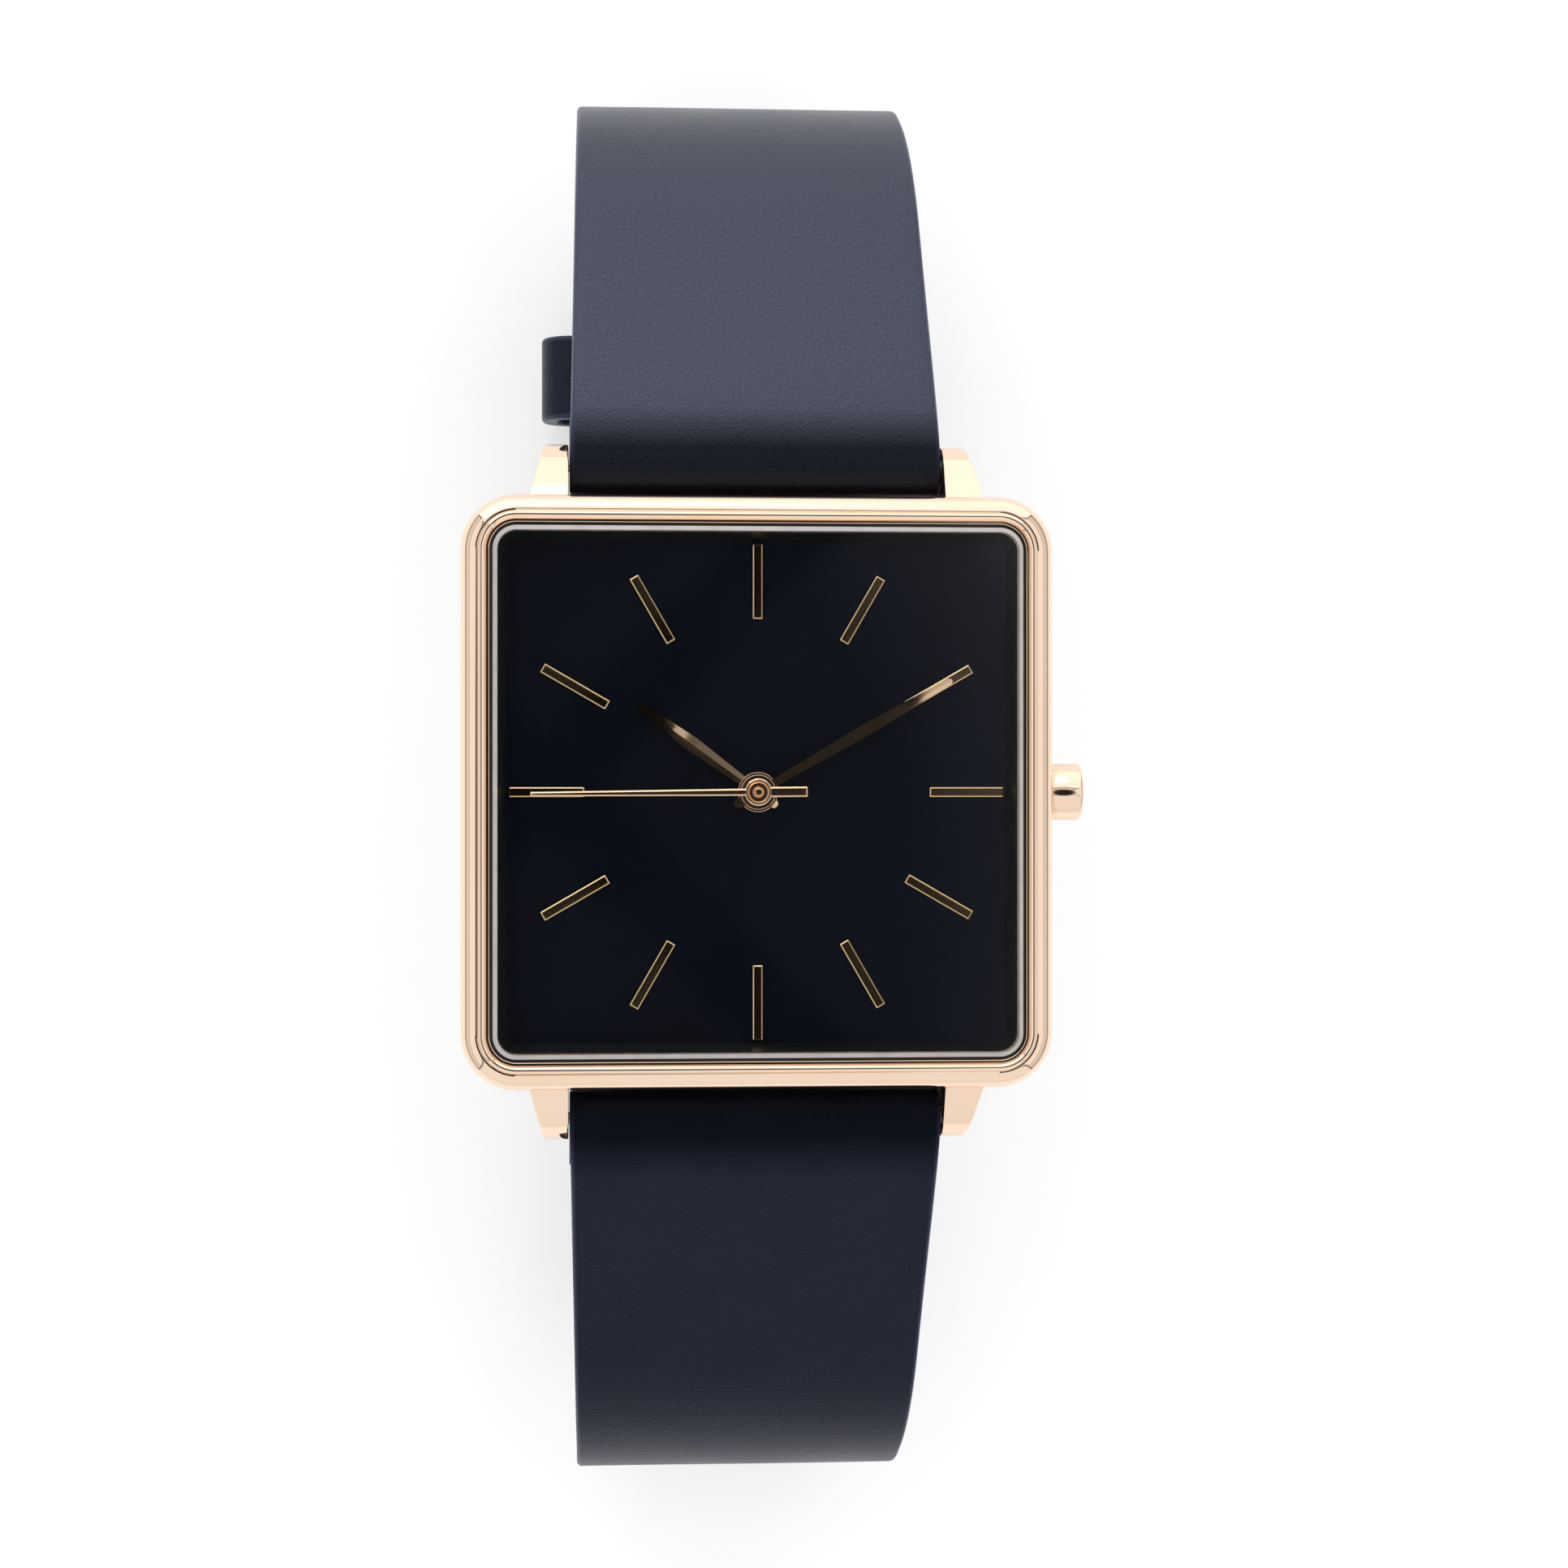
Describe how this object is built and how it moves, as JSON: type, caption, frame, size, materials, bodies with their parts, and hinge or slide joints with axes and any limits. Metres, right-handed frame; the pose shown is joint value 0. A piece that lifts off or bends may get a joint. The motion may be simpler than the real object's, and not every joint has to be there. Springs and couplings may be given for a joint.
{
  "type": "square wristwatch",
  "caption": "Square polished rose-gold quartz wristwatch with a dark dial, bar markers and three hands, on an unfastened navy leather strap curved into its loop.",
  "frame": {"origin": "on the axis of the hands, in the outer face of the case back", "axes": "+X to the crown at 3 o'clock, +Y to 12 o'clock, +Z out through the glass"},
  "size_m": [0.0371, 0.0875, 0.0342],
  "materials": {
    "rose_gold": "polished",
    "back_steel": "brushed",
    "sapphire": "polished",
    "gasket_rubber": "matte",
    "dial_lacquer": "gloss",
    "navy_leather": "fine grain",
    "lining_leather": "nubuck",
    "steel": "turned",
    "battery_can": "polished",
    "brass": "satin",
    "holder_plastic": "moulded",
    "magnet": "ground",
    "board": "matte",
    "chip_resin": "matte",
    "copper": "enamelled"
  },
  "bodies": {
    "watch_case": {"case_middle": "rose_gold", "bezel": "rose_gold", "crystal": "sapphire", "case_back": "back_steel", "spring_bar_tubes": "steel", "spring_bar_springs": "steel", "case_back_gasket": "gasket_rubber", "crystal_gasket": "gasket_rubber", "crown_tube": "steel", "dial": "dial_lacquer", "hour_markers": "rose_gold", "main_plate": "brass", "train_bridge": "brass", "movement_holder": "holder_plastic", "circuit_board": "board", "control_chip": "chip_resin", "quartz_can": "steel", "coil_core": "steel", "coil_winding": "copper", "stator": "steel", "battery": "battery_can", "battery_clamp": "steel", "movement_screws": "steel", "dial_washer": "steel"},
    "second": {"fourth_wheel": "brass", "second_hand": "rose_gold"},
    "fifth": {"fifth_wheel": "brass"},
    "rotor_body": {"rotor": "magnet"},
    "third": {"third_wheel": "brass"},
    "centre": {"centre_wheel": "brass"},
    "minute": {"cannon_pinion": "brass", "minute_hand": "rose_gold"},
    "minute_train": {"minute_wheel": "brass"},
    "hour": {"hour_wheel": "brass", "hour_hand": "rose_gold"},
    "setting": {"setting_wheel": "brass"},
    "clutch": {"sliding_pinion": "steel"},
    "crown_stem": {"crown": "rose_gold", "stem": "steel", "crown_gasket": "gasket_rubber"},
    "lever": {"setting_lever": "steel"},
    "buckle_strap": {"strap_buckle_half": "navy_leather", "strap_buckle_half_lining": "lining_leather", "fixed_keeper": "navy_leather"},
    "tail_strap": {"strap_tail_half": "navy_leather", "strap_tail_half_lining": "lining_leather"},
    "keeper": {"free_keeper": "navy_leather"},
    "buckle": {"buckle_frame": "rose_gold", "buckle_bar": "steel"},
    "tongue": {"buckle_tongue": "rose_gold"},
    "pin_12_right": {"spring_pin_12_right": "steel"},
    "pin_12_left": {"spring_pin_12_left": "steel"},
    "pin_6_right": {"spring_pin_6_right": "steel"},
    "pin_6_left": {"spring_pin_6_left": "steel"}
  },
  "joints": [
    {"name": "second_hand_turn", "type": "hinge", "parent": "watch_case", "child": "second", "pos_m": [0, 0, 0], "axis": [0, 0, -1], "continuous": true},
    {"name": "fifth_wheel_turn", "type": "hinge", "parent": "watch_case", "child": "fifth", "pos_m": [0.00136, 0.00136, 0], "axis": [0, 0, -1], "continuous": true},
    {"name": "rotor_turn", "type": "hinge", "parent": "watch_case", "child": "rotor_body", "pos_m": [0.00234, 0.00306, 0], "axis": [0, 0, -1], "continuous": true},
    {"name": "third_wheel_turn", "type": "hinge", "parent": "watch_case", "child": "third", "pos_m": [-0.00173, 0.00173, 0], "axis": [0, 0, -1], "continuous": true},
    {"name": "centre_wheel_turn", "type": "hinge", "parent": "watch_case", "child": "centre", "pos_m": [0, 0, 0], "axis": [0, 0, -1], "continuous": true},
    {"name": "minute_hand_turn", "type": "hinge", "parent": "watch_case", "child": "minute", "pos_m": [0, 0, 0], "axis": [0, 0, -1], "continuous": true},
    {"name": "minute_wheel_turn", "type": "hinge", "parent": "watch_case", "child": "minute_train", "pos_m": [0.00208, -0.0012, 0], "axis": [0, 0, -1], "continuous": true},
    {"name": "hour_hand_turn", "type": "hinge", "parent": "watch_case", "child": "hour", "pos_m": [0, 0, 0], "axis": [0, 0, -1], "continuous": true},
    {"name": "setting_wheel_turn", "type": "hinge", "parent": "watch_case", "child": "setting", "pos_m": [0.00461, 0, 0], "axis": [0, 0, -1], "continuous": true},
    {"name": "crown_turn", "type": "hinge", "parent": "watch_case", "child": "clutch", "pos_m": [0, 0, 0.0025], "axis": [1, 0, 0], "continuous": true},
    {"name": "crown_pull", "type": "slide", "parent": "clutch", "child": "crown_stem", "axis": [1, 0, 0], "range_m": [0, 0.001]},
    {"name": "setting_lever_turn", "type": "hinge", "parent": "watch_case", "child": "lever", "pos_m": [0.0066, 0.0022, 0.0025], "axis": [0, 0, 1], "range_deg": [0, 32.42]},
    {"name": "buckle_strap_swing", "type": "hinge", "parent": "watch_case", "child": "buckle_strap", "pos_m": [0, 0.0195, 0.002], "axis": [1, 0, 0], "range_deg": [0, 75]},
    {"name": "tail_strap_swing", "type": "hinge", "parent": "watch_case", "child": "tail_strap", "pos_m": [0, -0.0195, 0.002], "axis": [-1, 0, 0], "range_deg": [0, 75]},
    {"name": "keeper_slide", "type": "slide", "parent": "buckle_strap", "child": "keeper", "axis": [0, -1, 0], "range_m": [-0.0006, 0.0048]},
    {"name": "buckle_swing", "type": "hinge", "parent": "buckle_strap", "child": "buckle", "pos_m": [0, 0.012, -0.0245], "axis": [1, 0, 0], "range_deg": [-60, 30]},
    {"name": "tongue_swing", "type": "hinge", "parent": "buckle", "child": "tongue", "pos_m": [0, 0.012, -0.0245], "axis": [1, 0, 0], "range_deg": [0, 75]},
    {"name": "pin_12_right_push", "type": "slide", "parent": "watch_case", "child": "pin_12_right", "axis": [1, 0, 0], "range_m": [-0.0008, 0], "stiffness_N_per_m": 300, "springref_m": 0.0005},
    {"name": "pin_12_left_push", "type": "slide", "parent": "watch_case", "child": "pin_12_left", "axis": [-1, 0, 0], "range_m": [-0.0008, 0], "stiffness_N_per_m": 300, "springref_m": 0.0005},
    {"name": "pin_6_right_push", "type": "slide", "parent": "watch_case", "child": "pin_6_right", "axis": [1, 0, 0], "range_m": [-0.0008, 0], "stiffness_N_per_m": 300, "springref_m": 0.0005},
    {"name": "pin_6_left_push", "type": "slide", "parent": "watch_case", "child": "pin_6_left", "axis": [-1, 0, 0], "range_m": [-0.0008, 0], "stiffness_N_per_m": 300, "springref_m": 0.0005}
  ],
  "couplings": [
    {"joint": "fifth_wheel_turn", "follows": "second_hand_turn", "ratio": -5},
    {"joint": "rotor_turn", "follows": "second_hand_turn", "ratio": 30},
    {"joint": "third_wheel_turn", "follows": "second_hand_turn", "ratio": -0.13333},
    {"joint": "centre_wheel_turn", "follows": "second_hand_turn", "ratio": 0.016667},
    {"joint": "minute_wheel_turn", "follows": "minute_hand_turn", "ratio": -0.33333},
    {"joint": "hour_hand_turn", "follows": "minute_hand_turn", "ratio": 0.083333},
    {"joint": "setting_wheel_turn", "follows": "minute_hand_turn", "ratio": 0.6},
    {"joint": "setting_lever_turn", "follows": "crown_pull", "rad_per_m": 565.8}
  ]
}
